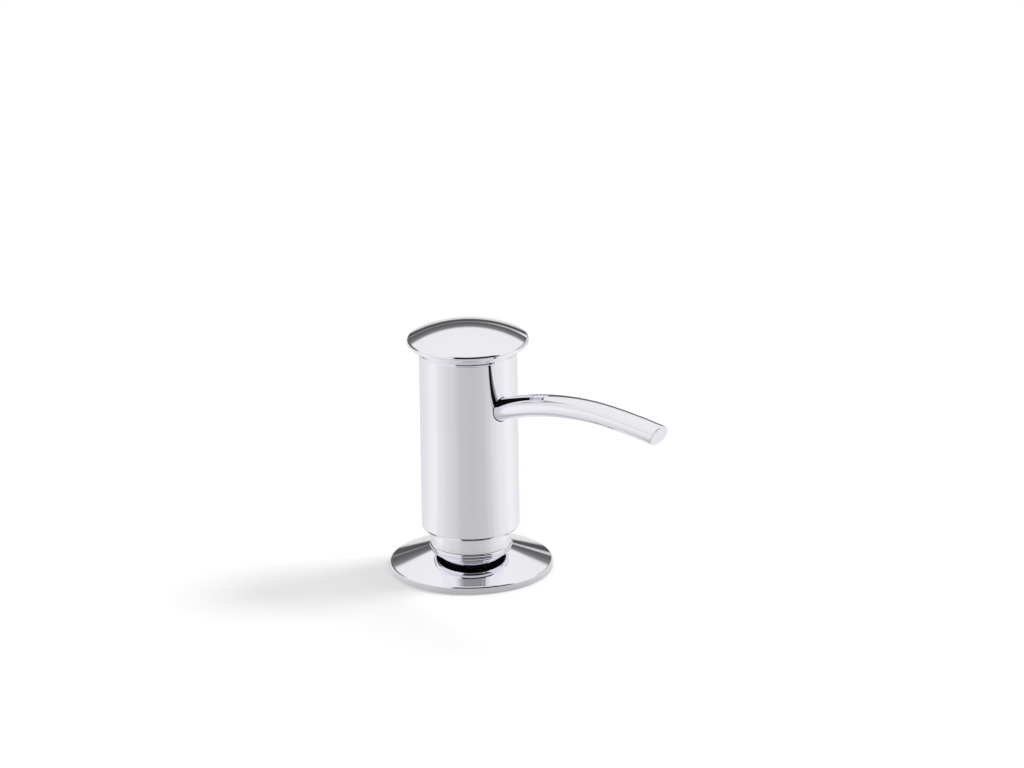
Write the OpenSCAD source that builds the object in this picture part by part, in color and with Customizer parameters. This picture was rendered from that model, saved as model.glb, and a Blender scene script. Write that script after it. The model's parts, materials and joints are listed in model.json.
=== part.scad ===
// Deck-mounted soap pump dispenser: a chromed push head with an arched spout
// over a fixed collar and flange, with its pump, shank, nut and bottle below.
// The deck's top is z = 0, the pump's axis is Z and the spout points along +X.

/* [Flange and collar] */
// Diameter of the round flange
flange_d = 54; // [52:0.5:58]
// Height of the flange's rim
flange_rim_h = 2.8; // [2.4:0.1:3]
// Height of the flange where the collar stands on it
flange_h = 7.5; // [7.3:0.1:7.6]
// Diameter of the fixed collar
collar_d = 26.6; // [26.4:0.1:27]
// Height of the collar's top above the deck
collar_top = 28; // [26:0.5:28]

/* [Push head] */
// Outside diameter of the head's shell
head_d = 32.5; // [32:0.1:34]
// Bore of the head's shell, which slides over the collar
head_bore_d = 29.4; // [29:0.1:29.6]
// Height of the shell's lower edge above the deck
head_bottom = 14.3; // [14.3:0.1:15]
// Height of the shell's upper edge, where the cap sits
head_top = 75.6; // [75:0.1:77]
// Diameter of the cap over its rolled rim
cap_d = 40.4; // [38:0.1:42]
// Thickness of the cap's rolled rim
cap_rim_t = 2.4; // [2:0.1:2.6]
// Slope of the dome where it meets the rim, in degrees
dome_edge_slope = 26; // [15:1:30]

/* [Spout] */
// Outside diameter of the spout
spout_d = 7.4; // [7:0.1:8]
// Bore of the spout
spout_bore_d = 4.4; // [3:0.1:5]
// Reach of the spout from the pump's axis
spout_reach = 90; // [86:1:95]
// Distance from the axis to the highest point of the arch
arch_x = 68; // [66:1:70]
// Height of the arch's centreline at its highest point
arch_z = 69.3; // [68.5:0.1:70]
// Radius of the arch between the head and its highest point
arch_r = 138; // [134:1:142]
// Radius of the flatter curve from the highest point to the tip
tip_r = 310; // [250:10:400]
// How far the tip's cut face looks down, in degrees
tip_cut = 24; // [0:1:30]

/* [Pump] */
// Travel of the push head
travel = 6.5; // [3:0.5:6.5]
// Diameter of the pump's stem
stem_d = 7.2; // [7:0.1:7.4]
// Bore of the pump chamber
chamber_bore_d = 13; // [12.8:0.1:13.2]
// Length of the chamber's bore
chamber_depth = 35; // [33:1:38]
// Wire diameter of the return spring
spring_wire_d = 1; // [0.8:0.1:1.2]
// Number of turns of the return spring
spring_turns = 7; // [5:1:8]

/* [Under the deck] */
// Diameter of the shoulder that centres the shank in the deck's hole
shank_d = 25.4; // [25:0.1:25.6]
// Length of that shoulder, from the underside of the flange down
shoulder_len = 5; // [4:0.5:8]
// Length of the shank below the deck
shank_len = 60; // [55:1:65]
// Thickness of the deck that the nut is drawn up to
deck_t = 23.5; // [20:0.5:24]
// Diameter of the mounting nut's flange
nut_d = 44; // [40:1:50]
// Diameter of the bottle
bottle_d = 72; // [66:1:80]
// Depth of the bottle's base below the deck
bottle_depth = 210; // [180:5:230]

/* [Hidden] */
$fn = 96;
eps = 0.01;
run_gap = 0.05;
seat_gap = 0.03;

// flange and collar
flange_r = flange_d / 2;
flange_edge_r = 0.8;
flange_neck_r = 13.2;
flange_bore_r = 12.1;
gasket_in_r = 20;
gasket_out_r = 24.5;
gasket_t = 1.6;
collar_r = collar_d / 2;
collar_bore_r = 11.6;
lip_r = 0.75;
lip_out_r = 13.75;

// push head
head_r = head_d / 2;
head_bore_r = head_bore_d / 2;
head_edge_r = 1.5;
cap_rim_r = cap_rim_t / 2;
cap_rim_mid_r = cap_d / 2 - cap_rim_r;
cap_rim_z = head_top + 3.8;
dome_r = cap_rim_mid_r / sin(dome_edge_slope) + cap_rim_r;
dome_z = cap_rim_z - cap_rim_mid_r / tan(dome_edge_slope);
dome_edge_r = dome_r * sin(dome_edge_slope);
under_slope = 48;
under_top_r = cap_rim_mid_r + cap_rim_r * cos(under_slope);
under_top_z = cap_rim_z - cap_rim_r * sin(under_slope);
bead_r = 0.45;
cap_bore_r = 13.2;
cap_spigot_l = 4.6;
core_r = 6.5;
core_bottom = 38;
core_top = 70;
disc_r = head_bore_r - run_gap;
disc_t = 2;
socket_top = 50;
socket_r = stem_d / 2 + run_gap;
boss_r = 6;
boss_end_x = 11.5;
spout_r = spout_d / 2;
spout_bore_r = spout_bore_d / 2;
spout_in_x = 5.5;
spout_seal_x = 8;
outlet_x = spout_reach - 6;
outlet_r = 1.5;
// the outer stretch of the spout is this much slimmer, so that it seats in the inner one
joint_step = 0.02;
seal_t = 1.4;

// pump
stem_r = stem_d / 2;
stem_bore_r = 1.2;
valve_bore_r = 2.2;
valve_z = 40;
outlet_ball_r = 1.8;
shank_top = 20;
chamber_gasket_t = 1;
chamber_flange_t = 2;
chamber_flange_r = 11;
chamber_top = shank_top + chamber_gasket_t + chamber_flange_t;
chamber_bore_r = chamber_bore_d / 2;
chamber_r = 8.5;
seat_z = chamber_top - chamber_depth;
seat_r = 1.6;
seat_t = 6;
inlet_ball_r = 2.5;
ball_gap = 0.05;
piston_top = chamber_top - 0.2;
piston_l = 10;
piston_r = 5;
land_t = 1.2;
land_r = chamber_bore_r - 0.08;
seal_r = chamber_bore_r - run_gap;
land_top_z = piston_top - 1.6;
land_low_z = piston_top - piston_l;
bush_r = 6;
bush_flange_r = 7.5;
bush_flange_t = 1.5;
nipple_l = 12;
nipple_r = 4.5;
tube_r = 3;
tube_bore_r = 2;
coil_r = 4.9;

// under the deck
shank_r = shank_d / 2;
thread_r = shank_r - 0.3;
shank_bore_r = 8.7;
thread_pitch = 2;
thread_depth = 0.6;
thread_gap = 0.8;
thread_end = 3;
washer_t = 1.5;
washer_r = 24;
nut_z = -deck_t - washer_t;
nut_hub_r = 17;
nut_flange_t = 3;
nut_h = 15;
wing_l = 25;
wing_t = 4;
neck_r = 16;
neck_top = -shank_len + 16;
ledge_r = 10;
bottle_gasket_t = 1.5;
bottle_r = bottle_d / 2;
bottle_wall = 1.5;
shoulder_r = 18;
foot_r = 6;
neck_foot = -shank_len - 4;

// ---- shared shapes ----

// ring between two radii, from height z0 to z1
module ring(r_in, r_out, z0, z1) {
    translate([0, 0, z0]) difference() {
        cylinder(r = r_out, h = z1 - z0);
        translate([0, 0, -1]) cylinder(r = r_in, h = z1 - z0 + 2);
    }
}

// full disc from height z0 to z1
module disc(r, z0, z1) {
    translate([0, 0, z0]) cylinder(r = r, h = z1 - z0);
}

// round ring of section radius r, centred mid_r from the axis
module bead(mid_r, r, z) {
    rotate_extrude() translate([mid_r, z]) circle(r = r);
}

// angle above the horizontal of the arch's radius at distance x from the pump's axis
function arch_angle(x) = acos((x - arch_x) / arch_r);
function tip_angle(x) = acos((x - arch_x) / tip_r);
function arch_height(x) = arch_z - arch_r + arch_r * sin(arch_angle(x));
function tip_height(x) = arch_z - tip_r + tip_r * sin(tip_angle(x));

// round rod of radius r bent to a circle of radius bend, from angle a0 to angle a1
module bent_rod(r, bend, a0, a1) {
    translate([arch_x, 0, arch_z - bend]) rotate([90, 0, 0]) rotate([0, 0, a0])
        rotate_extrude(angle = a1 - a0) translate([bend, 0]) circle(r = r);
}

// rod along the arch's rising side between two distances from the pump's axis
module arch_rod(r, x0, x1) {
    bent_rod(r, arch_r, arch_angle(x1), arch_angle(x0));
}

// rod along the outer side of the arch, from just inside its highest point
module tip_rod(r, x1) {
    bent_rod(r, tip_r, tip_angle(x1), tip_angle(arch_x - 1));
}

// ---- push head ----

module cap() {
    color("silver") difference() {
        union() {
            intersection() {
                translate([0, 0, dome_z]) sphere(r = dome_r, $fn = 180);
                disc(dome_edge_r, cap_rim_z, cap_rim_z + 10);
            }
            bead(cap_rim_mid_r, cap_rim_r, cap_rim_z);
            disc(cap_rim_mid_r, under_top_z, cap_rim_z + 0.2);
            translate([0, 0, head_top + bead_r]) cylinder(
                r1 = under_top_r - (under_top_z - head_top - bead_r) * tan(under_slope),
                r2 = under_top_r, h = under_top_z - head_top - bead_r);
            bead(head_r + 0.2, bead_r, head_top + bead_r);
            disc(head_r + 0.2, head_top, head_top + 2 * bead_r);
            disc(head_bore_r - run_gap, head_top - cap_spigot_l, head_top + 1);
        }
        disc(cap_bore_r, head_top - cap_spigot_l - 1, head_top + 3);
    }
}

module shell_profile() {
    translate([head_bore_r, head_bottom + head_edge_r])
        square([head_r - head_bore_r, head_top - head_bottom - head_edge_r]);
    intersection() {
        translate([head_r - head_edge_r, head_bottom + head_edge_r]) circle(r = head_edge_r);
        translate([head_bore_r, head_bottom]) square([head_edge_r * 2, head_edge_r + eps]);
    }
}

module head_shell() {
    color("silver") difference() {
        rotate_extrude() shell_profile();
        arch_rod(spout_r + 0.2, core_r, head_r + 5);
    }
}

module spout() {
    color("silver") difference() {
        union() {
            arch_rod(spout_r, spout_in_x, arch_x);
            tip_rod(spout_r - joint_step, spout_reach + 5);
        }
        arch_rod(spout_bore_r, spout_in_x - 1, arch_x);
        tip_rod(spout_bore_r - joint_step, outlet_x + 1.5);
        translate([outlet_x, 0, arch_z - 10]) cylinder(r = outlet_r, h = 10);
        translate([spout_reach, 0, tip_height(spout_reach)]) rotate([0, tip_cut, 0])
            translate([0, -10, -10]) cube([20, 20, 20]);
    }
}

module head_core() {
    color("whitesmoke") difference() {
        union() {
            disc(core_r, core_bottom, core_top);
            disc(disc_r, core_bottom + disc_t, core_bottom + 2 * disc_t);
            disc(disc_r, core_top - disc_t, core_top);
            arch_rod(boss_r, 0, boss_end_x);
        }
        disc(socket_r, core_bottom - 1, socket_top);
        disc(valve_bore_r, socket_top - 1, socket_top + 3);
        arch_rod(valve_bore_r, -1, spout_in_x + 0.5);
        arch_rod(spout_r, spout_in_x, head_bore_r);
        ring(socket_r - eps, socket_r + seal_t, core_bottom + 5, core_bottom + 5 + seal_t);
        arch_rod(spout_r + seal_t, spout_seal_x - seal_t / 2, spout_seal_x + seal_t / 2);
        for (a = [0 : 60 : 300])
            rotate([0, 0, a]) translate([10.6, 0, core_bottom - 1]) cylinder(r = 2.4, h = 8);
        for (a = [0 : 60 : 300])
            rotate([0, 0, a]) translate([10.6, 0, core_top - 4]) cylinder(r = 2.4, h = 8);
    }
}

module spout_seal() {
    seal_angle = arch_angle(spout_seal_x);
    color("dimgray") translate([arch_x + arch_r * cos(seal_angle), 0, arch_height(spout_seal_x)])
        rotate([0, 90 - seal_angle, 0]) bead_along_x(spout_r + seal_t / 2 + 0.02, seal_t / 2 - 0.06);
}

// round ring about the X axis
module bead_along_x(mid_r, r) {
    rotate([0, 90, 0]) bead(mid_r, r, 0);
}

module stem_seal() {
    color("dimgray") bead(socket_r + seal_t / 2, seal_t / 2 - 0.02, core_bottom + 5 + seal_t / 2);
}

// ---- plunger ----

module stem() {
    color("white") difference() {
        disc(stem_r, piston_top - 4, socket_top - run_gap);
        disc(stem_bore_r, piston_top - 5, valve_z + eps);
        disc(valve_bore_r, valve_z, socket_top + 1);
    }
}

module outlet_ball() {
    rest_h = sqrt(pow(outlet_ball_r, 2) - pow(stem_bore_r, 2)) + ball_gap;
    color("lightgray") translate([0, 0, valve_z + rest_h]) sphere(r = outlet_ball_r);
}

module ball_cage() {
    color("white") ring(1, valve_bore_r, valve_z + 6.5, valve_z + 9);
}

module piston() {
    color("white") difference() {
        union() {
            disc(piston_r, land_low_z, piston_top);
            disc(land_r, land_low_z, land_low_z + land_t);
            disc(land_r, land_top_z - land_t, land_top_z);
        }
        disc(stem_bore_r, land_low_z - 1, piston_top);
        disc(stem_r, piston_top - 4, piston_top + 1);
    }
}

module piston_seal() {
    color("dimgray") ring(piston_r, seal_r, land_low_z + land_t, land_top_z - land_t);
}

// ring of corner points of a round wire, at turn t of a helix from height z0 to z1
function wire_ring(t, z0, z1, turns, mid_r, wire_r, sides) = [
    for (k = [0 : sides - 1])
        let(a = 360 * t * turns, b = 360 * k / sides, r = mid_r + wire_r * cos(b))
            [r * cos(a), r * sin(a), z0 + (z1 - z0) * t + wire_r * sin(b)]
];

module helix(z0, z1, turns, mid_r, wire_r, sides = 6, steps = 16) {
    n = turns * steps;
    points = [for (i = [0 : n]) each wire_ring(i / n, z0, z1, turns, mid_r, wire_r, sides)];
    walls = [
        for (i = [0 : n - 1], k = [0 : sides - 1])
            let(k2 = (k + 1) % sides)
                each [
                    [i * sides + k, (i + 1) * sides + k, (i + 1) * sides + k2],
                    [i * sides + k, (i + 1) * sides + k2, i * sides + k2]
                ]
    ];
    first_end = [for (k = [0 : sides - 1]) k];
    last_end = [for (k = [sides - 1 : -1 : 0]) n * sides + k];
    polyhedron(points = points, faces = concat(walls, [first_end, last_end]));
}

module return_spring() {
    wire_r = spring_wire_d / 2;
    color("gainsboro")
        helix(seat_z + wire_r + 0.1, land_low_z - wire_r - 0.1, spring_turns, coil_r, wire_r);
}

// ---- fixed parts above the deck ----

module flange() {
    color("silver") difference() {
        union() {
            disc(flange_r, flange_edge_r, flange_rim_h - flange_edge_r);
            disc(flange_r - flange_edge_r, 0, flange_rim_h);
            bead(flange_r - flange_edge_r, flange_edge_r, flange_rim_h - flange_edge_r);
            disc(flange_r - 0.3, 0, flange_edge_r + eps);
            translate([0, 0, flange_rim_h - eps]) cylinder(
                r1 = flange_r - flange_edge_r + 0.1, r2 = flange_neck_r,
                h = flange_h - flange_rim_h + eps);
        }
        disc(flange_bore_r, -1, flange_h + 1);
        ring(gasket_in_r, gasket_out_r, -1, gasket_t);
        ring(shank_r + 2, gasket_in_r - 1.2, -1, flange_rim_h);
    }
}

module flange_gasket() {
    color("dimgray") ring(gasket_in_r, gasket_out_r, 0, gasket_t);
}

module collar() {
    color("silver") difference() {
        union() {
            disc(collar_r, flange_h, collar_top);
            bead(lip_out_r - lip_r, lip_r, flange_h + lip_r);
        }
        disc(collar_bore_r, flange_h - 1, collar_top + 1);
    }
}

module closure() {
    notch_w = 2;
    color("whitesmoke") difference() {
        ring(bush_r, collar_bore_r - seat_gap, chamber_top, collar_top);
        for (a = [0 : 45 : 315])
            rotate([0, 0, a]) translate([collar_bore_r - 1.6, -notch_w / 2, collar_top - 2])
                cube([3, notch_w, 3]);
    }
}

module guide_bush() {
    color("white") {
        ring(stem_r + run_gap, bush_r, chamber_top, collar_top);
        ring(stem_r + run_gap, bush_flange_r, collar_top, collar_top + bush_flange_t);
    }
}

module pump_chamber() {
    color("white") difference() {
        union() {
            disc(chamber_r, seat_z - seat_t, chamber_top);
            disc(chamber_flange_r, chamber_top - chamber_flange_t, chamber_top);
            disc(nipple_r, seat_z - seat_t - nipple_l, seat_z);
        }
        disc(chamber_bore_r, seat_z, chamber_top + 1);
        disc(seat_r, seat_z - seat_t - nipple_l, seat_z + 1);
        disc(tube_r, seat_z - seat_t - nipple_l - 1, seat_z - seat_t - 2);
    }
}

module chamber_gasket() {
    color("dimgray") ring(chamber_r + seat_gap, chamber_flange_r, shank_top, shank_top + chamber_gasket_t);
}

module inlet_ball() {
    rest_h = sqrt(pow(inlet_ball_r, 2) - pow(seat_r, 2)) + ball_gap;
    color("lightgray") translate([0, 0, seat_z + rest_h]) sphere(r = inlet_ball_r);
}

module dip_tube() {
    color("white") ring(tube_bore_r, tube_r - seat_gap, -bottle_depth + 6, seat_z - seat_t - 2);
}

module shank() {
    thread_top = -shoulder_len - 1;
    groove_n = floor((shank_len - shoulder_len - 1 - thread_end) / thread_pitch);
    color("gainsboro") difference() {
        union() {
            disc(shank_r, -shoulder_len, 0);
            disc(thread_r, -shank_len, 0);
            disc(flange_bore_r - seat_gap, -1, flange_h);
            disc(collar_bore_r - seat_gap, flange_h, shank_top);
        }
        disc(shank_bore_r, -shank_len - 1, shank_top + 1);
        for (i = [0 : groove_n])
            ring(thread_r - thread_depth, thread_r + 1, thread_top - i * thread_pitch - thread_gap,
                thread_top - i * thread_pitch);
    }
}

// ---- under the deck ----

module deck_washer() {
    color("dimgray") ring(thread_r + 0.4, washer_r, nut_z, nut_z + washer_t);
}

module mounting_nut() {
    color("whitesmoke") difference() {
        union() {
            disc(nut_d / 2, nut_z - nut_flange_t, nut_z);
            disc(nut_hub_r, nut_z - nut_h, nut_z);
            for (a = [0 : 90 : 270])
                rotate([0, 0, a]) translate([nut_hub_r - 2, -wing_t / 2, nut_z - nut_h])
                    cube([wing_l - nut_hub_r + 2, wing_t, nut_h]);
        }
        disc(thread_r + run_gap, nut_z - nut_h - 1, nut_z + 1);
    }
}

module bottle_gasket() {
    color("dimgray") ring(ledge_r, thread_r - 0.2, -shank_len - bottle_gasket_t - run_gap,
        -shank_len - run_gap);
}

// outline of the bottle's body, drawn in by a wall thickness
module bottle_outline(inset) {
    translate([bottle_r - shoulder_r, neck_foot - shoulder_r]) intersection() {
        circle(r = shoulder_r - inset);
        square(shoulder_r);
    }
    translate([0, neck_foot - shoulder_r]) square([bottle_r - shoulder_r, shoulder_r - inset]);
    translate([0, -bottle_depth + foot_r])
        square([bottle_r - inset, bottle_depth - foot_r + neck_foot - shoulder_r]);
    translate([0, -bottle_depth + inset]) square([bottle_r - foot_r, foot_r]);
    translate([bottle_r - foot_r, -bottle_depth + foot_r]) circle(r = foot_r - inset);
}

module bottle() {
    color("ghostwhite", 0.6) difference() {
        union() {
            rotate_extrude() bottle_outline(0);
            disc(neck_r, neck_foot - 1, neck_top);
        }
        rotate_extrude() bottle_outline(bottle_wall);
        disc(ledge_r, neck_foot - 3, neck_top);
        disc(thread_r + run_gap, -shank_len - bottle_gasket_t - run_gap, neck_top + 1);
    }
}

cap();
head_shell();
spout();
head_core();
spout_seal();
stem_seal();
stem();
outlet_ball();
ball_cage();
piston();
piston_seal();
return_spring();
flange();
flange_gasket();
collar();
closure();
guide_bush();
pump_chamber();
chamber_gasket();
inlet_ball();
dip_tube();
shank();
deck_washer();
mounting_nut();
bottle_gasket();
bottle();
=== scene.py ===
"""Looks of the deck-mounted soap pump dispenser.

The chromed cap, head, spout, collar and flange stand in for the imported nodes; the other nodes get materials.
"""

import json
import math

import bmesh
import bpy
from mathutils import Matrix, Vector


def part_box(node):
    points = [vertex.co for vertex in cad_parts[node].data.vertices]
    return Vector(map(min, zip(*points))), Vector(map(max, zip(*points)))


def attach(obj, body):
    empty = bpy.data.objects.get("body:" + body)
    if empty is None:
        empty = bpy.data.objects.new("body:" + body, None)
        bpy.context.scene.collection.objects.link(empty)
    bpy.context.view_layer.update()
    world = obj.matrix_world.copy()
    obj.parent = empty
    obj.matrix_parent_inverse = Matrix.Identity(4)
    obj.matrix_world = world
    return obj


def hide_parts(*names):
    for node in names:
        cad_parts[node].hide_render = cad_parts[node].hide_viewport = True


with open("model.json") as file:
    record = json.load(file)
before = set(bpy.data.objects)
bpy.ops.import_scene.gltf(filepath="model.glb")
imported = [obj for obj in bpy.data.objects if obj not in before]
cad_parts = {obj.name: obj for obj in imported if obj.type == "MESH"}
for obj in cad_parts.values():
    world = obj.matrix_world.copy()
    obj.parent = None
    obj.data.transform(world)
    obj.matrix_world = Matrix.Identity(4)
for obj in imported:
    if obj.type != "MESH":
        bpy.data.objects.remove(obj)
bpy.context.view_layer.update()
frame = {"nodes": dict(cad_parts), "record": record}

MM = 0.001
SEGMENTS = 288
ROD_SIDES = 96
CREASE = 28
TINY = 1e-7

# ---- the view ----
VIEW_DISTANCE = 2.4
VIEW_ELEVATION = math.radians(19.34)
VIEW_ROLL = math.radians(0.85)
SPOUT_TURN = math.radians(47)
TARGET = Vector((0, 0, 42 * MM))
PIXELS_PER_METRE = 3026
OFF_CENTRE_RIGHT = -42.5 / PIXELS_PER_METRE
OFF_CENTRE_UP = -63.0 / PIXELS_PER_METRE
IMAGE_WIDTH = 1024
SENSOR_WIDTH = 36

TOWARDS_CAMERA = Vector((math.sin(SPOUT_TURN), -math.cos(SPOUT_TURN), 0))
TO_THE_RIGHT = Vector((math.cos(SPOUT_TURN), math.sin(SPOUT_TURN), 0))


def make_camera():
    """Long lens, a little above the dispenser, with the spout turned towards the camera."""
    into = -TOWARDS_CAMERA * math.cos(VIEW_ELEVATION) - Vector((0, 0, math.sin(VIEW_ELEVATION)))
    up = -TOWARDS_CAMERA * math.sin(VIEW_ELEVATION) + Vector((0, 0, math.cos(VIEW_ELEVATION)))
    side = TO_THE_RIGHT
    cam_side = side * math.cos(VIEW_ROLL) - up * math.sin(VIEW_ROLL)
    cam_up = side * math.sin(VIEW_ROLL) + up * math.cos(VIEW_ROLL)
    place = TARGET - cam_side * OFF_CENTRE_RIGHT - cam_up * OFF_CENTRE_UP - into * VIEW_DISTANCE
    data = bpy.data.cameras.new("camera")
    data.sensor_width = SENSOR_WIDTH
    data.lens = PIXELS_PER_METRE * VIEW_DISTANCE / IMAGE_WIDTH * SENSOR_WIDTH
    data.clip_start = 0.05
    data.clip_end = 20
    camera = bpy.data.objects.new("camera", data)
    axes = Matrix((cam_side, cam_up, -into)).transposed().to_4x4()
    camera.matrix_world = Matrix.Translation(place) @ axes
    bpy.context.scene.collection.objects.link(camera)
    bpy.context.scene.camera = camera


make_camera()


# ---- node helpers ----

class Nodes:
    """Short ways to add and join shader nodes in one tree."""

    def __init__(self, tree):
        self.tree = tree
        tree.nodes.clear()

    def add(self, kind, settings=None, **inputs):
        node = self.tree.nodes.new(kind)
        for name, value in (settings or {}).items():
            setattr(node, name, value)
        for name, value in inputs.items():
            self.feed(node, name, value)
        return node

    def feed(self, node, name, value):
        socket = node.inputs[int(name[1:])] if name[0] == "i" and name[1:].isdigit() else node.inputs[name]
        if isinstance(value, bpy.types.NodeSocket):
            self.tree.links.new(value, socket)
        else:
            socket.default_value = value

    def math(self, operation, a, b=0.0, clamp=False):
        node = self.add("ShaderNodeMath", {"operation": operation, "use_clamp": clamp}, i0=a, i1=b)
        return node.outputs[0]

    def dot(self, vector, direction):
        node = self.add("ShaderNodeVectorMath", {"operation": "DOT_PRODUCT"}, i0=vector, i1=tuple(direction))
        return node.outputs["Value"]

    def ramp(self, value, stops, low=0.0, high=1.0):
        """Grey tone from a list of (position, tone), where positions run from low to high."""
        mapped = self.add("ShaderNodeMapRange", {}, Value=value)
        mapped.inputs["From Min"].default_value = low
        mapped.inputs["From Max"].default_value = high
        node = self.add("ShaderNodeValToRGB", {}, Fac=mapped.outputs[0])
        elements = node.color_ramp.elements
        while len(elements) < len(stops):
            elements.new(0.5)
        for element, (position, tone) in zip(elements, sorted(stops)):
            element.position = (position - low) / (high - low)
            element.color = (tone, tone, tone, 1)
        node.color_ramp.interpolation = "EASE"
        return node.outputs["Color"]

    def band(self, value, low, high, soft):
        """1 between low and high, falling to 0 over the soft width on either side."""
        rise = self.add("ShaderNodeMapRange", {"interpolation_type": "SMOOTHSTEP"}, Value=value)
        rise.inputs["From Min"].default_value = low - soft
        rise.inputs["From Max"].default_value = low + soft
        fall = self.add("ShaderNodeMapRange", {"interpolation_type": "SMOOTHSTEP"}, Value=value)
        fall.inputs["From Min"].default_value = high + soft
        fall.inputs["From Max"].default_value = high - soft
        return self.math("MULTIPLY", rise.outputs[0], fall.outputs[0])

    def blend(self, factor, a, b):
        """From colour a at 0 to colour b at 1."""
        node = self.add("ShaderNodeMix", {"data_type": "RGBA"}, Factor=factor, i6=(*a, 1), i7=(*b, 1))
        return node.outputs[2]

    def mix(self, factor, a, b):
        """From a at 0 to b at 1, where each is a colour socket or a grey tone."""
        node = self.add("ShaderNodeMix", {"data_type": "RGBA"}, Factor=factor)
        self.feed(node, "i6", a if isinstance(a, bpy.types.NodeSocket) else (a, a, a, 1))
        self.feed(node, "i7", b if isinstance(b, bpy.types.NodeSocket) else (b, b, b, 1))
        return node.outputs[2]


def heading_and_height(n, vector):
    """Heading in degrees from the camera's side, + to its right, and height in degrees above the horizon."""
    front = n.dot(vector, TOWARDS_CAMERA)
    right = n.dot(vector, TO_THE_RIGHT)
    up = n.dot(vector, (0, 0, 1))
    heading = n.math("MULTIPLY", n.math("ARCTAN2", right, front), 180 / math.pi)
    height = n.math("MULTIPLY", n.math("ARCSINE", up), 180 / math.pi)
    return heading, height


# ---- studio ----

# Angles in degrees: headings from the camera's side, + to its right, and heights above the horizon.
# SEAM_TENS holds half widths in tens of degrees, because a ramp's tones can't pass 1.
BACKDROP_FOOT = 1
BACKDROP_TOP = 26.5
BACKDROP_HALF = 72
BACKDROP_TONES = [(-25, 0.065), (0, 0.075), (11, 0.10), (18, 0.13), (24, 0.22), (30, 0.6)]
SEAM_HEIGHT = 12
SEAM_HALF = 70
SEAM_TENS = [(-40, 0.08), (0, 0.1), (9, 0.18), (30, 0.6)]
SEAM_TONES = [(-40, 0.22), (0, 0.28), (9, 0.5), (18, 0.9)]
TENT_TONES = [(-90, 0.7), (0, 0.80), (30, 0.88), (60, 0.90), (90, 0.90)]
ROOM_TONES = [(0, 0.004), (46, 0.004), (52, 0.14), (60, 0.30), (70, 0.66), (78, 0.86)]
ROOM_LEFT = -28
ROOM_RIGHT = 62
ROOM_LOW = 4
ROOM_TOP = 49
SHADE_LEFT = -45
SHADE_RIGHT = 55
SHADE_TOP = 78
PAST_BEHIND = -20
DIFFUSE_LIGHT = 0.85
FLOOR_RADIUS = 0.25
FLOOR_DROP = 0.02 * MM
# Painted light and shade on the table as reflections see it, by heading: greyest in front, brightest at the
# sides.
PAINTED_FLOOR_LIGHT_TONES = [(-180, 0.76), (-130, 0.80), (-85, 0.92), (-67, 0.80), (-41, 0.695), (-14, 0.575), (8, 0.56),
               (30, 0.59), (43, 0.66), (56, 0.757), (70, 0.84), (100, 0.93), (135, 0.84), (180, 0.76)]
# Painted shade on the table close to the dispenser, seen in reflections: darker within about 43 mm of the
# axis.
FLOOR_NEAR_PAINTED_SHADE = [(0.026, 0.78), (0.034, 0.90), (0.043, 1.0), (0.09, 1.0)]


def painted_floor_light(n, heading):
    """Painted light and shade of the table round the dispenser, as reflections see it: greyest in front,
    brightest at the sides.
    """
    return n.ramp(heading, PAINTED_FLOOR_LIGHT_TONES, -180, 180)


def dark_room(n, heading, height):
    """Tone of the dark room that shows where the tent is open towards the camera, and where it shows."""
    tone = n.ramp(height, ROOM_TONES, 0, 90)
    across_mouth = n.band(heading, ROOM_LEFT, ROOM_RIGHT, 2)
    mouth = n.math("MULTIPLY", across_mouth, n.band(height, ROOM_LOW, ROOM_TOP, 1))
    across_shade = n.band(heading, SHADE_LEFT, SHADE_RIGHT, 22)
    shade = n.math("MULTIPLY", across_shade, n.band(height, ROOM_TOP, SHADE_TOP, 1))
    return tone, n.math("MAXIMUM", mouth, shade)


def make_world():
    """White to the camera; the chrome reflects a dark backdrop, a white tent and the dark room in front."""
    world = bpy.data.worlds.new("studio")
    world.use_nodes = True
    bpy.context.scene.world = world
    n = Nodes(world.node_tree)
    direction = n.add("ShaderNodeTexCoord").outputs["Generated"]
    heading, height = heading_and_height(n, direction)
    behind = n.math("SUBTRACT", 180, n.math("ABSOLUTE", heading))
    from_behind = n.math("MULTIPLY", behind, n.math("SIGN", heading))
    tent = n.ramp(height, TENT_TONES, -90, 90)
    below = n.band(height, -91, -1, 1.5)
    # Below the horizon, reflections see the same painted light and shade of the table.
    tone = n.mix(below, tent, painted_floor_light(n, heading))
    wall_tone = n.ramp(height, BACKDROP_TONES, -25, 30)
    wall_rows = n.band(height, BACKDROP_FOOT, BACKDROP_TOP, 3)
    wall = n.math("MULTIPLY", wall_rows, n.band(behind, PAST_BEHIND, BACKDROP_HALF, 8))
    tone = n.mix(wall, tone, wall_tone)
    seam_width = n.math("MULTIPLY", 10, n.ramp(from_behind, SEAM_TENS, -40, 30))
    seam_off = n.math("ABSOLUTE", n.math("SUBTRACT", height, SEAM_HEIGHT))
    seam = n.math("LESS_THAN", seam_off, seam_width)
    seam = n.math("MULTIPLY", seam, n.band(behind, PAST_BEHIND, SEAM_HALF, 4))
    tone = n.mix(seam, tone, n.ramp(from_behind, SEAM_TONES, -40, 30))
    room, opening = dark_room(n, heading, height)
    tone = n.mix(opening, tone, room)
    ray = n.add("ShaderNodeLightPath")
    diffuse_light = n.mix(ray.outputs["Is Diffuse Ray"], tone, DIFFUSE_LIGHT)
    shown = n.mix(ray.outputs["Is Camera Ray"], diffuse_light, 1.0)
    background = n.add("ShaderNodeBackground", {}, Color=shown, Strength=1.0)
    out = n.add("ShaderNodeOutputWorld")
    n.tree.links.new(background.outputs[0], out.inputs["Surface"])


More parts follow.
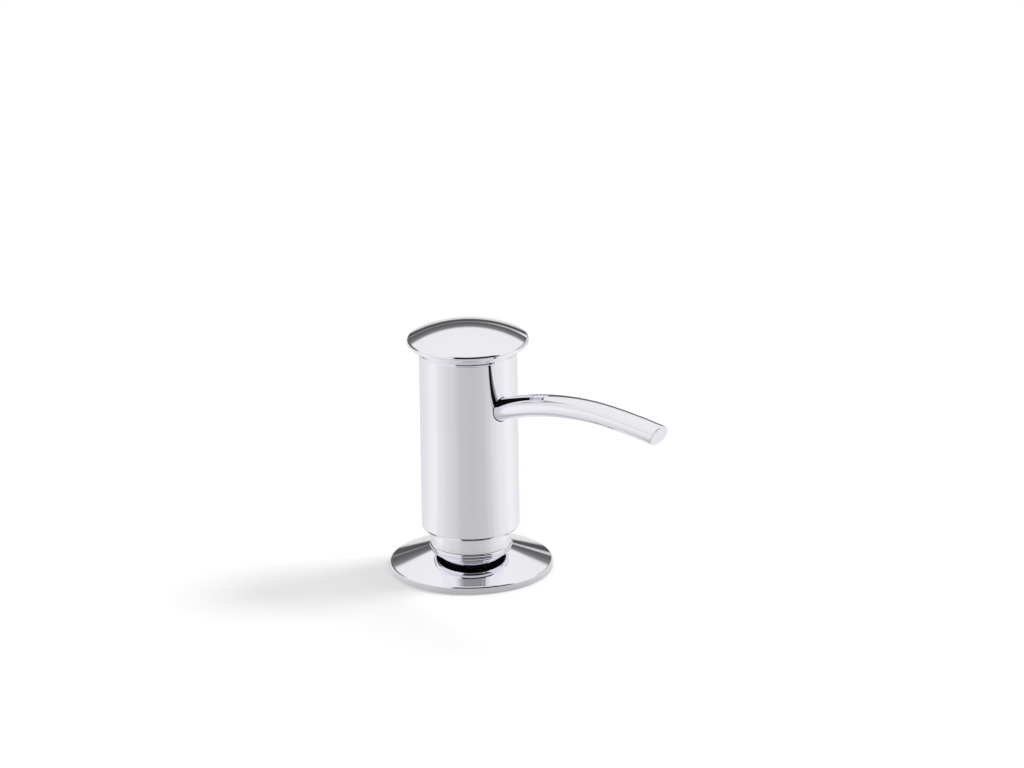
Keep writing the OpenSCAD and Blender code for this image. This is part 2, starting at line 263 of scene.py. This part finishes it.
def area_light(name, place, size, watts):
    """Soft light aimed at the origin, for the table and the plastics. It shows in no reflection."""
    data = bpy.data.lights.new(name, "AREA")
    data.shape = "DISK"
    data.size = size
    data.energy = watts
    light = bpy.data.objects.new(name, data)
    light.location = place
    light.rotation_euler = (-Vector(place)).to_track_quat("-Z", "Y").to_euler()
    light.visible_glossy = False
    bpy.context.scene.collection.objects.link(light)


def make_floor():
    """White table top at deck level. The chrome sees it glow in painted light and shade, darker close to the
    dispenser; the camera sees white.
    """
    bm = bmesh.new()
    bmesh.ops.create_circle(bm, cap_ends=True, segments=128, radius=FLOOR_RADIUS)
    mesh = bpy.data.meshes.new("table_top")
    bm.to_mesh(mesh)
    bm.free()
    floor = bpy.data.objects.new("table_top", mesh)
    floor.location.z = -FLOOR_DROP
    bpy.context.scene.collection.objects.link(floor)
    material = bpy.data.materials.new("table_white")
    material.use_nodes = True
    n = Nodes(material.node_tree)
    place = n.add("ShaderNodeNewGeometry").outputs["Position"]
    heading, _height = heading_and_height(n, place)
    distance = n.add("ShaderNodeVectorMath", {"operation": "LENGTH"}, i0=place).outputs["Value"]
    # Painted shade: reflections see the table darken close to the dispenser.
    near = n.ramp(distance, FLOOR_NEAR_PAINTED_SHADE, 0.0, FLOOR_RADIUS)
    tone = n.math("MULTIPLY", painted_floor_light(n, heading), near)
    # Glossy rays see the table glow with this painted light and shade; camera and diffuse rays see the white
    # paint.
    glossy_painted_light = n.add("ShaderNodeEmission", {}, Color=tone, Strength=1.0)
    grain = n.add("ShaderNodeTexNoise", {}, Vector=place, Scale=900.0, Detail=3.0)
    white = n.ramp(grain.outputs[0], [(0.3, 0.86), (0.7, 0.88)])
    paint = n.add("ShaderNodeBsdfDiffuse", {}, Color=white)
    ray = n.add("ShaderNodeLightPath")
    surface = n.add("ShaderNodeMixShader", {}, i0=ray.outputs["Is Glossy Ray"], i1=paint.outputs[0],
                    i2=glossy_painted_light.outputs[0])
    out = n.add("ShaderNodeOutputMaterial")
    n.tree.links.new(surface.outputs[0], out.inputs["Surface"])
    floor.data.materials.append(material)


# ---- materials ----

def surface_material(name):
    """A new material with a principled shader: the material, its nodes and the shader."""
    material = bpy.data.materials.new(name)
    material.use_nodes = True
    n = Nodes(material.node_tree)
    shader = n.add("ShaderNodeBsdfPrincipled")
    out = n.add("ShaderNodeOutputMaterial")
    n.tree.links.new(shader.outputs[0], out.inputs["Surface"])
    return material, n, shader


def object_place(n):
    """Texture coordinates that move with the piece."""
    return n.add("ShaderNodeTexCoord").outputs["Object"]


def stretched(n, place, along, scale):
    """The place scaled up, and by a further factor along Z, to draw a pattern out or press it together."""
    node = n.add("ShaderNodeMapping", {}, Vector=place)
    node.inputs["Scale"].default_value = tuple(scale * (along if k == 2 else 1) for k in range(3))
    return node.outputs[0]


def chrome(tint=(0.945, 0.938, 0.99), polish=0.035):
    """Bright plating: hairline buffing marks, slight orange peel, and faint smudges in its gloss."""
    material, n, shader = surface_material("polished_chrome")
    place = object_place(n)
    smudge = n.add("ShaderNodeTexNoise", {}, Vector=place, Scale=55.0, Detail=5.0, Roughness=0.55)
    hairline = n.add("ShaderNodeTexNoise", {}, Vector=stretched(n, place, 40, 220), Scale=1.0, Detail=4.0)
    speck = n.add("ShaderNodeTexVoronoi", {}, Vector=place, Scale=650.0)
    gloss = n.ramp(smudge.outputs[0], [(0.30, polish * 0.7), (0.55, polish), (0.75, polish * 1.9)])
    marks = n.ramp(hairline.outputs[0], [(0.35, 0.0), (0.6, 0.0), (0.75, 0.03)])
    shader.inputs["Metallic"].default_value = 1.0
    n.feed(shader, "Roughness", n.math("ADD", gloss, marks))
    cloud = n.add("ShaderNodeTexNoise", {}, Vector=place, Scale=24.0, Detail=2.0)
    dark = tuple(c * 0.975 for c in tint)
    n.feed(shader, "Base Color", n.blend(cloud.outputs[0], dark, tint))
    peel = n.add("ShaderNodeTexNoise", {}, Vector=place, Scale=160.0, Detail=2.0)
    pits = n.ramp(speck.outputs["Distance"], [(0.0, 0.0), (0.06, 1.0)])
    relief = n.math("ADD", peel.outputs[0], n.math("MULTIPLY", pits, 0.15))
    bump = n.add("ShaderNodeBump", {}, Height=relief, Strength=0.035, Distance=0.00004)
    n.feed(shader, "Normal", bump.outputs[0])
    return material


def shade_black_bore():
    """The head's bore: a near-black dull surface, painted shade for the dark inside of the head."""
    material, n, shader = surface_material("shade_black_bore")
    place = object_place(n)
    turned = n.add("ShaderNodeTexNoise", {}, Vector=stretched(n, place, 30, 150), Scale=1.0, Detail=3.0)
    tone = n.ramp(turned.outputs[0], [(0.3, 0.008), (0.7, 0.02)])
    n.feed(shader, "Base Color", tone)
    shader.inputs["Metallic"].default_value = 0.0
    n.feed(shader, "Roughness", n.ramp(turned.outputs[0], [(0.3, 0.55), (0.7, 0.75)]))
    return material


def moulded(name, colour, rough, grain_size=1400.0, grain_depth=0.00003, scatter=0.0):
    """Injection-moulded plastic: fine texture, flow clouding and slightly uneven gloss."""
    material, n, shader = surface_material(name)
    place = object_place(n)
    flow = n.add("ShaderNodeTexNoise", {}, Vector=stretched(n, place, 0.4, 60), Scale=1.0, Detail=5.0)
    grain = n.add("ShaderNodeTexNoise", {}, Vector=place, Scale=grain_size, Detail=2.0)
    dark = tuple(c * 0.86 for c in colour)
    n.feed(shader, "Base Color", n.blend(flow.outputs[0], dark, colour))
    n.feed(shader, "Roughness", n.ramp(flow.outputs[0], [(0.3, rough * 0.85), (0.7, rough * 1.15)]))
    if scatter:
        shader.inputs["Subsurface Weight"].default_value = scatter
        shader.inputs["Subsurface Scale"].default_value = 0.004
    bump = n.add("ShaderNodeBump", {}, Height=grain.outputs[0], Strength=0.5, Distance=grain_depth)
    n.feed(shader, "Normal", bump.outputs[0])
    return material


def rubber():
    """Matt black seal rubber with a powdery bloom."""
    material, n, shader = surface_material("seal_rubber")
    place = object_place(n)
    bloom = n.add("ShaderNodeTexNoise", {}, Vector=place, Scale=300.0, Detail=6.0, Roughness=0.7)
    n.feed(shader, "Base Color", n.ramp(bloom.outputs[0], [(0.35, 0.012), (0.7, 0.05)]))
    n.feed(shader, "Roughness", n.ramp(bloom.outputs[0], [(0.3, 0.6), (0.7, 0.85)]))
    bump = n.add("ShaderNodeBump", {}, Height=bloom.outputs[0], Strength=0.4, Distance=0.00005)
    n.feed(shader, "Normal", bump.outputs[0])
    return material


def bright_steel():
    """Drawn wire and ground balls: bright steel with fine lines."""
    material, n, shader = surface_material("bright_steel")
    place = object_place(n)
    lines = n.add("ShaderNodeTexNoise", {}, Vector=stretched(n, place, 12, 400), Scale=1.0, Detail=4.0)
    shader.inputs["Metallic"].default_value = 1.0
    n.feed(shader, "Base Color", n.ramp(lines.outputs[0], [(0.3, 0.50), (0.7, 0.66)]))
    n.feed(shader, "Roughness", n.ramp(lines.outputs[0], [(0.3, 0.16), (0.7, 0.30)]))
    return material


# ---- shapes ----

def arc(centre, radius, start, stop, step=4.0):
    """Points of (radius, height) round centre, from one angle in degrees to another."""
    count = max(2, int(abs(stop - start) / step + 0.999))
    points = []
    for k in range(count + 1):
        a = math.radians(start + (stop - start) * k / count)
        points.append((centre[0] + radius * math.cos(a), centre[1] + radius * math.sin(a)))
    return points


def with_supports(points, near=0.12 * MM):
    """The outline with an extra point close to each end of every long straight stretch, so that the shading
    stays flat on it."""
    out = [points[0]]
    for p, q in zip(points, points[1:]):
        a, b = Vector(p), Vector(q)
        length = (b - a).length
        if length < TINY:
            continue
        if length > 6 * near:
            step = (b - a) / length * near
            out += [tuple(a + step), tuple(b - step)]
        out.append(q)
    return out


def lathe(name, profile):
    """Solid of revolution about Z from a closed outline of (radius, height)."""
    profile = with_supports(profile + [profile[0]])
    if (Vector(profile[0]) - Vector(profile[-1])).length < TINY:
        profile = profile[:-1]
    bm = bmesh.new()
    rings = []
    for radius, height in profile:
        if radius < TINY:
            rings.append([bm.verts.new((0, 0, height))])
            continue
        ring = []
        for k in range(SEGMENTS):
            a = 2 * math.pi * k / SEGMENTS
            ring.append(bm.verts.new((radius * math.cos(a), radius * math.sin(a), height)))
        rings.append(ring)
    for low, high in zip(rings, rings[1:] + rings[:1]):
        if len(low) == 1 and len(high) == 1:
            continue
        for k in range(SEGMENTS):
            k2 = (k + 1) % SEGMENTS
            corners = [low[k % len(low)], low[k2 % len(low)], high[k2 % len(high)], high[k % len(high)]]
            corners = list(dict.fromkeys(corners))
            bm.faces.new(corners)
    return finish_mesh(name, bm)


def finish_mesh(name, bm):
    """Object of the mesh, with smooth shading and sharp creases."""
    bmesh.ops.recalc_face_normals(bm, faces=bm.faces)
    mesh = bpy.data.meshes.new(name)
    bm.to_mesh(mesh)
    bm.free()
    for polygon in mesh.polygons:
        polygon.use_smooth = True
    mesh.set_sharp_from_angle(angle=math.radians(CREASE))
    piece = bpy.data.objects.new(name, mesh)
    bpy.context.scene.collection.objects.link(piece)
    return piece


def dress(piece, node, body, slot, *materials):
    """Gives a piece its materials and its body, and hides the CAD node that it stands for. The slot argument
    is not used.
    """
    for material in materials:
        piece.data.materials.append(material)
    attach(piece, body)
    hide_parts(node)


# ---- the dispenser's sizes, from the frame ----

SHELL_LOW, SHELL_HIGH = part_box("head_shell")
CAP_LOW, CAP_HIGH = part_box("cap")
FLANGE_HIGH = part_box("flange")[1]
COLLAR_LOW, COLLAR_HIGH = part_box("collar")
SPOUT_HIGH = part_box("spout")[1]

HEAD_R = SHELL_HIGH[0]
HEAD_BORE_R = 14.7 * MM
HEAD_EDGE_R = 1.5 * MM
CAP_R = CAP_HIGH[0]
CAP_RIM_R = 1.2 * MM
CAP_RIM_Z = SHELL_HIGH[2] + 3.8 * MM
DOME_SLOPE = 26
UNDER_SLOPE = 48
CAP_BORE_R = 13.2 * MM
CAP_WELL = 3 * MM
SKIRT_R = HEAD_BORE_R - 0.05 * MM
BEAD_R = 0.45 * MM
FLANGE_R = FLANGE_HIGH[0]
FLANGE_EDGE_R = 0.8 * MM
FLANGE_RIM_H = 2.8 * MM
FLANGE_NECK_R = 13.2 * MM
FLANGE_BORE_R = 12.1 * MM
GASKET_OUT_R = 24.5 * MM
GASKET_IN_R = 20 * MM
GASKET_T = 1.6 * MM
RELIEF_OUT_R = 18.8 * MM
RELIEF_IN_R = 14.7 * MM
RELIEF_H = 2.8 * MM
COLLAR_R = 13.3 * MM
COLLAR_BORE_R = 11.6 * MM
LIP_R = 0.75 * MM
LIP_OUT_R = COLLAR_HIGH[0]
SPOUT_R = SPOUT_HIGH[1]
SPOUT_START = 6 * MM
SPOUT_SIDES = 128
SPOUT_HOLE_GAP = 0.2 * MM
SPOUT_REACH = 90 * MM
SLANT_FROM = SPOUT_REACH - 4 * MM
ARCH_X = 68 * MM
ARCH_Z = 69.3 * MM
ARCH_R = 138 * MM
TIP_R = 310 * MM
TIP_CUT = math.radians(24)
OUTLET_X = 84 * MM
OUTLET_R = 1.5 * MM
OUTLET_DEPTH = 3 * MM


# ---- pieces ----

def make_cap(plating):
    """Low dome, rolled rim, sloping underside and the skirt that sits on the shell."""
    rim_r = CAP_R - CAP_RIM_R
    slope = math.radians(DOME_SLOPE)
    dome_r = rim_r / math.sin(slope) + CAP_RIM_R
    dome_z = CAP_RIM_Z - rim_r / math.tan(slope)
    seat = SHELL_HIGH[2]
    bead_mid = HEAD_R + 0.2 * MM
    rim = (rim_r, CAP_RIM_Z)
    profile = arc((0, dome_z), dome_r, 90, 90 - DOME_SLOPE, 1.0)
    profile += arc(rim, CAP_RIM_R, 90 - DOME_SLOPE, -UNDER_SLOPE, 4.0)[1:]
    profile += arc((bead_mid, seat + BEAD_R), BEAD_R, 40, -90, 10.0)
    profile += [(SKIRT_R, seat), (SKIRT_R, CAP_LOW[2])]
    profile += [(CAP_BORE_R, CAP_LOW[2]), (CAP_BORE_R, seat + CAP_WELL), (0, seat + CAP_WELL)]
    piece = lathe("cap_dome", profile)
    dress(piece, "cap", "head", "chrome", plating)


def radial_normals(piece, radius, low, high):
    """Exact round shading on the outside of a straight tube, round any hole cut in it."""
    mesh = piece.data
    normals = [Vector(c.vector) for c in mesh.corner_normals]
    for polygon in mesh.polygons:
        middle = polygon.center
        flat = math.hypot(middle.x, middle.y)
        level = abs(polygon.normal.z) < 0.02
        if abs(flat - radius) < 0.02 * MM and low < middle.z < high and level:
            for loop in polygon.loop_indices:
                v = mesh.vertices[mesh.loops[loop].vertex_index].co
                normals[loop] = Vector((v.x, v.y, 0)).normalized()
    mesh.normals_split_custom_set([tuple(v) for v in normals])


def make_shell(plating, bore):
    """Plain tube with a rounded lower edge and the hole that the spout comes out of."""
    low = SHELL_LOW[2]
    high = SHELL_HIGH[2]
    edge = (HEAD_R - HEAD_EDGE_R, low + HEAD_EDGE_R)
    round_r = 0.25 * MM
    profile = [(HEAD_BORE_R, high), (HEAD_R - round_r, high)]
    profile += arc((HEAD_R - round_r, high - round_r), round_r, 90, 0, 15)[1:]
    profile += arc(edge, HEAD_EDGE_R, 0, -90, 4)
    profile += [(HEAD_BORE_R, low + 0.02 * MM)]
    piece = lathe("head_tube", profile)
    through_wall = rod_stations(HEAD_BORE_R - 4 * MM, HEAD_R + 6 * MM, 10)
    cut_away(piece, sweep("hole_cutter", through_wall, SPOUT_R + SPOUT_HOLE_GAP))
    radial_normals(piece, HEAD_R, low + HEAD_EDGE_R - 0.1 * MM, high - round_r + 0.1 * MM)
    dress(piece, "head_shell", "head", "chrome", plating, bore)
    # The bore faces get the near-black painted shade.
    for polygon in piece.data.polygons:
        middle = polygon.center
        outward = polygon.normal.x * middle.x + polygon.normal.y * middle.y
        if math.hypot(middle.x, middle.y) < HEAD_BORE_R + 0.3 * MM and outward < 0:
            polygon.material_index = 1


def station(x):
    """Centre and direction of the spout at distance x from the pump's axis."""
    bend = ARCH_R if x < ARCH_X else TIP_R
    off = x - ARCH_X
    height = ARCH_Z - bend + math.sqrt(bend * bend - off * off)
    slope = math.asin(-off / bend)
    return Vector((x, 0, height)), Vector((math.cos(slope), 0, math.sin(slope)))


def rod_stations(start, stop, count):
    """Evenly spaced stations between two distances from the pump's axis."""
    return [station(start + (stop - start) * k / count) for k in range(count + 1)]


def circle_points(centre, along, radius, sides):
    """Points of a circle about a direction in the XZ plane."""
    side = Vector((0, 1, 0))
    up = side.cross(along) * -1
    angles = [2 * math.pi * k / sides for k in range(sides)]
    return [centre + (side * math.cos(a) + up * math.sin(a)) * radius for a in angles]


def ring_round(bm, centre, along, radius, sides):
    """Mesh vertices on such a circle."""
    return [bm.verts.new(p) for p in circle_points(centre, along, radius, sides)]


def join_rings(bm, rings):
    """Faces between each ring and the next."""
    for low, high in zip(rings, rings[1:]):
        for k in range(len(low)):
            k2 = (k + 1) % len(low)
            bm.faces.new((low[k], low[k2], high[k2], high[k]))


def sweep(name, stations, radius):
    """Closed round rod along a list of stations."""
    bm = bmesh.new()
    rings = [ring_round(bm, centre, along, radius, ROD_SIDES) for centre, along in stations]
    join_rings(bm, rings)
    bm.faces.new(rings[0])
    bm.faces.new(rings[-1])
    return finish_mesh(name, bm)


def drill_outlet(piece):
    """Small round hole in the underside, just behind the tip."""
    centre, _along = station(OUTLET_X)
    bm = bmesh.new()
    place = Matrix.Translation(centre - Vector((0, 0, SPOUT_R)))
    bmesh.ops.create_cone(bm, cap_ends=True, segments=48, radius1=OUTLET_R, radius2=OUTLET_R,
                          depth=OUTLET_DEPTH, matrix=place)
    cut_away(piece, finish_mesh("outlet_cutter", bm))


def cut_away(piece, cutter):
    """Takes the cutter's shape out of the piece, keeping its smooth shading."""
    cut = piece.modifiers.new("hole", "BOOLEAN")
    cut.operation = "DIFFERENCE"
    cut.solver = "EXACT"
    cut.object = cutter
    graph = bpy.context.evaluated_depsgraph_get()
    mesh = bpy.data.meshes.new_from_object(piece.evaluated_get(graph))
    piece.modifiers.clear()
    piece.data = mesh
    bpy.data.objects.remove(cutter)
    for polygon in mesh.polygons:
        polygon.use_smooth = True
    mesh.set_sharp_from_angle(angle=math.radians(CREASE))


def make_spout(plating):
    """Slim arched tube, cut at a slant at the tip with a softened edge."""
    tip, _along = station(SPOUT_REACH)
    face = Vector((math.cos(TIP_CUT), 0, -math.sin(TIP_CUT)))
    soft = 0.35 * MM
    bm = bmesh.new()
    stations = rod_stations(SPOUT_START, ARCH_X, 60) + rod_stations(ARCH_X, SLANT_FROM, 16)[1:]
    rings = [ring_round(bm, centre, along, SPOUT_R, SPOUT_SIDES) for centre, along in stations]
    centre, along = station(SLANT_FROM)

    def slant_ring(radius, back):
        """Ring of the tube's outline at a radius, on a plane that lies back from the cut face."""
        ring = []
        for p in circle_points(centre, along, radius, SPOUT_SIDES):
            run = (tip - face * back - p).dot(face) / along.dot(face)
            far = p + along * run
            drop = Vector((0, 0, -(far.x - centre.x) ** 2 / (2 * TIP_R)))
            ring.append(bm.verts.new(far + drop))
        return ring

    rings.append(slant_ring(SPOUT_R, 1.2 * MM))
    for k in range(7):
        a = math.radians(15 * k)
        rings.append(slant_ring(SPOUT_R - soft * (1 - math.cos(a)), soft * (1 - math.sin(a))))
    for share in (0.97, 0.9, 0.5):
        rings.append(slant_ring((SPOUT_R - soft) * share, 0))
    join_rings(bm, rings)
    bm.faces.new(rings[0])
    bm.faces.new(rings[-1])
    piece = finish_mesh("spout_tube", bm)
    drill_outlet(piece)
    dress(piece, "spout", "head", "chrome", plating)


def make_flange(plating):
    """Low cone with a rolled rim, which the collar stands on."""
    top = FLANGE_HIGH[2]
    edge = (FLANGE_R - FLANGE_EDGE_R, FLANGE_RIM_H - FLANGE_EDGE_R)
    slope = math.degrees(math.atan2(top - FLANGE_RIM_H, FLANGE_R - FLANGE_EDGE_R - FLANGE_NECK_R))
    foot_r = 0.3 * MM
    profile = [(FLANGE_BORE_R, top), (FLANGE_NECK_R, top)]
    profile += arc(edge, FLANGE_EDGE_R, 90 - slope, 0, 5)
    profile += arc((FLANGE_R - foot_r, foot_r), foot_r, 0, -90, 15)
    profile += [(GASKET_OUT_R, 0), (GASKET_OUT_R, GASKET_T), (GASKET_IN_R, GASKET_T), (GASKET_IN_R, 0)]
    profile += [(RELIEF_OUT_R, 0), (RELIEF_OUT_R, RELIEF_H), (RELIEF_IN_R, RELIEF_H)]
    profile += [(RELIEF_IN_R, 0), (FLANGE_BORE_R, 0)]
    piece = lathe("flange_cone", profile)
    dress(piece, "flange", "base", "chrome", plating)


def make_collar(plating):
    """Fixed sleeve with a round lip where it stands on the flange."""
    low = COLLAR_LOW[2]
    high = COLLAR_HIGH[2]
    lip = (LIP_OUT_R - LIP_R, low + LIP_R)
    top_r = 0.4 * MM
    lean = math.degrees(math.acos((COLLAR_R - lip[0]) / LIP_R))
    profile = [(COLLAR_BORE_R, low), (lip[0], low)]
    profile += arc(lip, LIP_R, -90, lean, 6)[1:]
    profile += arc((COLLAR_R - top_r, high - top_r), top_r, 0, 90, 10)
    profile += [(COLLAR_BORE_R, high)]
    piece = lathe("collar_sleeve", profile)
    dress(piece, "collar", "base", "chrome", plating)


def dress_frame(finishes):
    """Each CAD node that still shows gets the finish of its slot."""
    slots = {row["node"]: row["material_slot"] for row in frame["record"]["subparts"]}
    for name, node in frame["nodes"].items():
        if slots[name] in finishes and not node.hide_render:
            node.data.materials.clear()
            node.data.materials.append(finishes[slots[name]])


def make_pieces():
    """The chromed pieces, and the finishes of all the others."""
    plating = chrome()
    bore = shade_black_bore()
    make_cap(plating)
    make_shell(plating, bore)
    make_spout(plating)
    make_flange(plating)
    make_collar(plating)
    dress_frame({
        "moulding": moulded("white_moulding", (0.80, 0.80, 0.78), 0.28),
        "seal_rubber": rubber(),
        "steel": bright_steel(),
        "tubing": moulded("milky_tubing", (0.82, 0.84, 0.83), 0.35, scatter=0.5),
        "shank_plastic": moulded("shank_plastic", (0.045, 0.045, 0.05), 0.42),
        "nut_plastic": moulded("nut_plastic", (0.03, 0.03, 0.034), 0.48, 900.0, 0.00006),
        "bottle_plastic": moulded("bottle_plastic", (0.84, 0.86, 0.87), 0.4, 500.0, 0.00005, scatter=0.6),
    })


make_world()
make_floor()
area_light("key_from_the_right", TO_THE_RIGHT * 0.9 - TOWARDS_CAMERA * 0.3 + Vector((0, 0, 1.1)), 0.5, 9)
area_light("fill_from_the_front", TOWARDS_CAMERA * 1.2 + Vector((0, 0, 1.2)), 1.0, 4)
make_pieces()

scene = bpy.context.scene
scene.view_settings.view_transform = "Standard"
scene.view_settings.look = "None"
scene.view_settings.exposure = 0
scene.view_settings.gamma = 1
